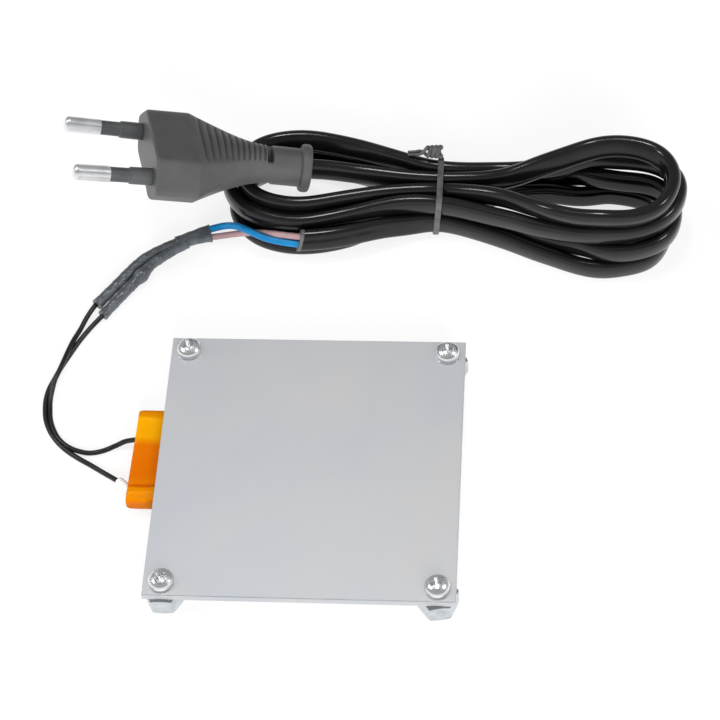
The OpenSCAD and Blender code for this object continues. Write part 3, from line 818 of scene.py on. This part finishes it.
# creases show in full on the top and half as deep on the underside, which is pressed flat
z = z + creases(x[:, None], y) * np.where(edge > 0, 1.0, -0.5)[None] - 0.1
lap = LAP_OUT / (1 + np.exp((y - LAP_Y) / 0.3)) * np.exp(-from_end[:, None] / 2)
film_rings = np.stack([x[:, None] - lap, y, np.minimum(z, CORE_Z[1] + 0.1)], axis=-1)
skin("film_wrap", film_rings[:, ::-1] * MM, ("core_film",))

# %% [markdown]
# ## Finishes
# Every finish is built from the same few nodes. Noise in the object's own coordinates makes
# the colour and the roughness drift a little, as on anything moulded or rolled, and a finer
# noise drives a bump. A photographed texture would keep its lamp's light; these take any.

# %% Helpers for finishes


def linear(*rgb):
    """A screen colour, 0 to 255, as the linear light that a shader expects."""
    c = np.array(rgb, float) / 255
    light = np.where(c <= 0.04045, c / 12.92, ((c + 0.055) / 1.055) ** 2.4)
    return (*light.tolist(), 1.0)


def add(tree, kind, **inputs):
    """A new node of a kind, with some of its inputs set by their names."""
    node = tree.nodes.new("ShaderNode" + kind)
    for name, value in inputs.items():
        node.inputs[name.replace("_", " ")].default_value = value
    return node


def wire(tree, *rows):
    """Links each row's first node, from a named output, to its second node's named input."""
    for source, output, target, into in rows:
        tree.links.new(source.outputs[output], target.inputs[into])


def finish(name, tones, rough, drift, grain, metallic=0.0, specular=0.5, stretch=(1, 1, 1)):
    """A material: two tones and roughnesses mixed by a slow noise, and a bump from a fine one.

    Tones are screen colours from 0 to 255. drift is the size of the slow noise and grain the
    size and depth of the fine one, in millimetres; stretch draws it out along an axis.
    """
    material = bpy.data.materials.new(name)
    material.use_nodes = True
    tree = material.node_tree
    shader = tree.nodes["Principled BSDF"]
    shader.inputs["Metallic"].default_value = metallic
    shader.inputs["Specular IOR Level"].default_value = specular
    place = add(tree, "TexCoord")
    slow = add(tree, "TexNoise", Scale=1 / (drift * MM), Detail=4)
    ramp = add(tree, "ValToRGB")
    for stop, at, tone in zip(ramp.color_ramp.elements, (0.3, 0.7), tones):
        stop.position, stop.color = at, linear(*tone)
    spread = add(tree, "MapRange", To_Min=rough[0], To_Max=rough[1])
    mapping = add(tree, "Mapping", Scale=stretch)
    fine = add(tree, "TexNoise", Scale=1 / (grain[0] * MM), Detail=5)
    bump = add(tree, "Bump", Distance=grain[1] * MM)
    wire(
        tree,
        (place, "Object", slow, "Vector"),
        (slow, "Fac", ramp, "Fac"), (ramp, "Color", shader, "Base Color"),
        (slow, "Fac", spread, "Value"), (spread, "Result", shader, "Roughness"),
        (place, "Object", mapping, "Vector"), (mapping, "Vector", fine, "Vector"),
        (fine, "Fac", bump, "Height"), (bump, "Normal", shader, "Normal"),
    )
    return material


def banded(material, bands, strays):
    """Bands of colour from front to back, given as places in millimetres and tones.

    The slow noise moves their edges to and fro, by the share strays of the whole width.
    """
    tree = material.node_tree
    shader, place = tree.nodes["Principled BSDF"], tree.nodes["Texture Coordinate"]
    slow, split = tree.nodes["Noise Texture"], add(tree, "SeparateXYZ")
    first, last = bands[0][0], bands[-1][0]
    across = add(tree, "MapRange", From_Min=first * MM, From_Max=last * MM)
    waver = add(tree, "MapRange", To_Min=-strays, To_Max=strays)
    total, ramp = add(tree, "Math"), add(tree, "ValToRGB")
    stops = ramp.color_ramp.elements
    while len(stops) < len(bands):
        stops.new(0.5)
    for stop, (at, tone) in zip(stops, bands):
        stop.position, stop.color = (at - first) / (last - first), linear(*tone)
    wire(
        tree,
        (place, "Object", split, "Vector"), (split, "Y", across, "Value"),
        (slow, "Fac", waver, "Value"), (across, "Result", total, 0), (waver, "Result", total, 1),
        (total, "Value", ramp, "Fac"), (ramp, "Color", shader, "Base Color"),
    )


def paint(material, *names):
    """Gives pieces, by name, one finish in place of what they came with."""
    for name in names:
        mesh = (nodes.get(name) or bpy.data.objects[name]).data
        mesh.materials.clear()
        mesh.materials.append(material)
    print(material.name, "on", *names)


def finish_all(rows):
    """Makes the finish of each row and gives it to the row's pieces."""
    for name, tones, rough, drift, grain, more, *pieces in rows:
        paint(finish(name, tones, rough, drift, grain, **more), *pieces)


# %% [markdown]
# The plate is rolled aluminium, satin and a little cloudy, so its tones drift slowly from
# bluish to plain grey. Screws and feet are zinc-plated steel, brighter and spotted at a
# small scale; the feet have the same zinc in darker tones, as painted shade for their place
# under the plate's edge. The pins are drawn nickel, with a grain along them.

# %% Metal finishes
CORNERS = ("back_left", "back_right", "front_left", "front_right")
METAL = {"metallic": 1.0}
# name, two tones, least and most roughness, drift, grain, what else, and the pieces
finish_all([
    ("satin_aluminium", [(191, 195, 201), (202, 202, 203)], (0.48, 0.56), 22, (0.35, 0.012),
     {"metallic": 0.8}, "top_plate"),
    ("bright_zinc", [(234, 236, 238), (248, 249, 250)], (0.22, 0.34), 2.5, (0.5, 0.02),
     METAL, *["screw_" + corner for corner in CORNERS]),
    # the feet: the screws' zinc in darker tones, as painted shade under the plate's edge
    ("spacer_zinc", [(184, 190, 194), (212, 217, 220)], (0.20, 0.34), 2.5, (0.5, 0.02),
     METAL, *["foot_" + corner for corner in CORNERS]),
    ("pin_nickel", [(224, 226, 229), (244, 245, 247)], (0.28, 0.38), 4, (0.3, 0.006),
     {"metallic": 1.0, "stretch": (0.3, 1, 1)}, "pin_far", "pin_near"),
    ("strip_aluminium", [(180, 182, 186), (205, 207, 210)], (0.3, 0.45), 6, (0.4, 0.02),
     METAL, "electrode_upper", "electrode_lower"),
])

# %% [markdown]
# Black vinyl on a cable is smooth from its hot die, so mostly highlights are seen of it. The
# plug comes from a grained mould and looks dull grey beside it. Sleeves, tie and wires lie
# between the two.

# %% Plastic and rubber finishes
finish_all([
    ("cable_vinyl", [(12, 12, 13), (19, 19, 20)], (0.14, 0.22), 9, (2.5, 0.006),
     {"specular": 0.45}, "mains_cable"),
    ("lead_silicone", [(8, 9, 10), (18, 19, 20)], (0.26, 0.36), 5, (0.4, 0.02),
     {}, "lead_back_wire", "lead_front_wire"),
    ("heat_shrink", [(64, 68, 72), (84, 89, 94)], (0.16, 0.28), 1.8, (0.9, 0.10),
     {"specular": 0.6}, "splice_back_sleeve", "splice_front_sleeve", "shared_sleeve"),
    ("plug_vinyl", [(74, 74, 75), (82, 82, 83)], (0.38, 0.48), 6, (0.22, 0.05),
     {"specular": 0.3}, "plug_moulding"),
    ("pin_sleeve_nylon", [(64, 66, 67), (78, 80, 81)], (0.35, 0.45), 4, (0.3, 0.02),
     {"specular": 0.4}, "pin_sleeve_far", "pin_sleeve_near"),
    ("tie_coating", [(62, 62, 63), (92, 92, 93)], (0.4, 0.55), 2, (0.25, 0.03),
     {"specular": 0.4}, "tie_band", "tie_twist"),
    ("blue_vinyl", [(8, 98, 150), (22, 116, 168)], (0.3, 0.4), 4, (0.5, 0.02),
     {"specular": 0.3}, "blue_core"),
    ("brown_vinyl", [(138, 112, 114), (158, 130, 132)], (0.3, 0.42), 4, (0.5, 0.02),
     {"specular": 0.4}, "brown_core"),
    ("woven_white", [(226, 226, 226), (242, 242, 242)], (0.6, 0.75), 1.0, (0.25, 0.06),
     {}, "white_sleeve"),
    ("cut_vinyl", [(74, 74, 74), (100, 100, 100)], (0.5, 0.6), 2, (0.2, 0.03),
     {}, "cable_cut_face"),
    ("glue_grey", [(150, 150, 148), (172, 172, 170)], (0.6, 0.75), 3, (0.8, 0.1),
     {}, "core_adhesive"),
    ("tablet_ceramic", [(70, 66, 62), (92, 88, 84)], (0.6, 0.8), 2, (0.2, 0.03),
     {}, "tablets"),
])

# %% [markdown]
# Amber film is clear: where more laps lie over each other it is darker and redder, and each
# lap's edge is a thin line. Real clear layers would have to be a few hundredths of a
# millimetre thick; bands of colour with edges that waver look the same and stay simple.

# %% The amber film's finish
# from front to back across the bar: where a tone lies, in mm, and the tone
LAPS = [
    (-9.8, (160, 78, 0)), (-9.2, (200, 104, 2)), (-8.6, (216, 128, 0)), (-5.6, (222, 134, 0)),
    (-5.0, (188, 76, 2)), (-4.4, (216, 116, 2)), (-2.0, (212, 104, 0)), (6.0, (214, 108, 0)),
    (8.2, (228, 154, 0)), (13.0, (232, 160, 0)), (14.4, (214, 130, 2)), (16.0, (200, 118, 12)),
]
amber = finish(
    "amber_film", [(204, 88, 0), (246, 168, 0)], (0.2, 0.32), 7, (1.6, 0.10), specular=0.05,
)
banded(amber, LAPS, 0.05)
paint(amber, "film_wrap")

# %% [markdown]
# ## Floor, world and lamps
# The photograph is cut out on white. A white room bright enough for that would wash out
# the pieces too, so the kind of a ray decides what it meets. The camera sees plain white,
# shiny pieces mirror a room with white walls and a darker ceiling and back, and everything
# else is lit by a dim, even light, and by the lamps.

# %% White surroundings
WHITE = (1, 1, 1, 1)
# how bright the room is to matt pieces, and to shiny ones at its walls and at its dark side
AMBIENT, WALLS, DARK = 0.18, 0.9, 0.30
# the way to the dark side, and the cosines to it at which the walls end and the dark begins
DARK_SIDE, WALLS_END, DARK_BEGINS = (0.0, 0.35, 0.94), 0.10, 0.45


def either(tree, *rays):
    """1 where a ray is of one of these kinds: the largest of the kinds' own 0s and 1s."""
    path = add(tree, "LightPath")
    found = path.outputs[rays[0]]
    for ray in rays[1:]:
        both = add(tree, "Math")
        both.operation = "MAXIMUM"
        tree.links.new(found, both.inputs[0])
        tree.links.new(path.outputs[ray], both.inputs[1])
        found = both.outputs[0]
    return found


scene = bpy.context.scene
scene.view_settings.view_transform = "Standard"
world = bpy.data.worlds.new("white_room")
world.use_nodes = True
scene.world = world
tree = world.node_tree
tree.nodes.remove(tree.nodes["Background"])
plain = add(tree, "Background", Color=WHITE, Strength=AMBIENT)
walls, white_wall = add(tree, "Background", Color=WHITE), add(tree, "Background", Color=WHITE)
direction = add(tree, "TexCoord")
facing = add(tree, "VectorMath")
facing.operation = "DOT_PRODUCT"
facing.inputs[1].default_value = DARK_SIDE
fall = add(
    tree, "MapRange", From_Min=WALLS_END, From_Max=DARK_BEGINS, To_Min=WALLS, To_Max=DARK,
)
wire(
    tree,
    (direction, "Generated", facing, 0), (facing, "Value", fall, "Value"),
    (fall, "Result", walls, "Strength"),
)
shown = [plain.outputs[0]]
SEEN_BY = ((walls, ("Is Glossy Ray", "Is Transmission Ray")), (white_wall, ("Is Camera Ray",)))
for source, rays in SEEN_BY:
    pick = add(tree, "MixShader")
    tree.links.new(either(tree, *rays), pick.inputs["Fac"])
    tree.links.new(shown[-1], pick.inputs[1])
    tree.links.new(source.outputs[0], pick.inputs[2])
    shown.append(pick.outputs[0])
tree.links.new(shown[-1], tree.nodes["World Output"].inputs["Surface"])
print("world nodes:", len(tree.nodes))

# %% [markdown]
# The floor is a white sheet. To the camera and in mirrors it glows just enough to blend with
# the white behind it; the rest of it is matt and takes the soft shadows.

# %% The floor
# half its side in m, its tone, how bright it glows, and how much of it is glow
FLOOR, SHEET_TONE, GLOW, GLOW_SHARE = 3.0, 0.9, 1.08, 0.72
floor_mesh = bpy.data.meshes.new("floor")
corners = [(-FLOOR, -FLOOR, 0), (FLOOR, -FLOOR, 0), (FLOOR, FLOOR, 0), (-FLOOR, FLOOR, 0)]
floor_mesh.from_pydata(corners, [], [(0, 1, 2, 3)])
floor = bpy.data.objects.new("floor", floor_mesh)
scene.collection.objects.link(floor)
sheet = bpy.data.materials.new("white_sheet")
sheet.use_nodes = True
tree = sheet.node_tree
tree.nodes.clear()
matt = add(tree, "BsdfDiffuse", Color=(SHEET_TONE, SHEET_TONE, SHEET_TONE, 1))
glow = add(tree, "Emission", Color=WHITE, Strength=GLOW)
dimmed = add(tree, "Math")
dimmed.operation = "MULTIPLY"
dimmed.inputs[1].default_value = GLOW_SHARE
mixed, surface = add(tree, "MixShader"), add(tree, "OutputMaterial")
watched = either(tree, "Is Camera Ray", "Is Glossy Ray", "Is Transmission Ray")
tree.links.new(watched, dimmed.inputs[0])
wire(
    tree,
    (dimmed, 0, mixed, "Fac"), (matt, 0, mixed, 1), (glow, 0, mixed, 2),
    (mixed, 0, surface, "Surface"),
)
floor_mesh.materials.append(sheet)
print("floor side, m:", 2 * FLOOR)

# %% [markdown]
# Glossy black cable shows the lamps more than its own colour, so they are placed for their
# reflections: a small one overhead for the thin lights along the turns, and one on each
# side for those round the ends. Two large ones, which aren't mirrored, light the plug's
# front and the feet.

# %% Lamps
# what every lamp faces, in m
AIM = np.array([0, 0.05, 0])


def soft_box(name, place, size, watts, mirrored=True):
    """A rectangular lamp at a place, turned to face AIM; shiny pieces mirror it or not."""
    lamp = bpy.data.lights.new(name, "AREA")
    lamp.shape, lamp.size, lamp.size_y, lamp.energy = "RECTANGLE", *size, watts
    box = bpy.data.objects.new(name, lamp)
    back = unit(np.array(place) - AIM)
    right = unit(np.cross([0.0, 1.0, 0.0], back))
    turn = np.eye(4)
    turn[:3, :3] = np.column_stack([right, np.cross(back, right), back])
    turn[:3, 3] = place
    box.matrix_world = Matrix(turn.tolist())
    box.visible_glossy = mirrored
    scene.collection.objects.link(box)
    print("lamp", name, "of", watts, "W")


soft_box("overhead", (-0.05, 0.28, 1.0), (0.14, 0.24), 2.1)
soft_box("left", (-0.70, 0.15, 0.90), (0.20, 0.20), 2.0)
soft_box("right", (0.85, 0.15, 0.90), (0.20, 0.20), 1.9)
soft_box("fill_right", (0.32, -0.95, 0.38), (0.8, 0.5), 17.3, mirrored=False)
soft_box("fill_left", (-1.0, -0.10, 0.35), (0.5, 0.5), 6.5, mirrored=False)

# %% [markdown]
# ## What bends, said in words
# A cord is declared with its real length and thickness, where it leaves the object, and
# what is on its far end, so that a simulation can treat it as one.

# %% Cords
on_leads = {
    "lead_back": [splice_back, shared_sleeve], "lead_front": [splice_front, white_sleeve],
}
for name, pieces in on_leads.items():
    line = lead_lines[name]
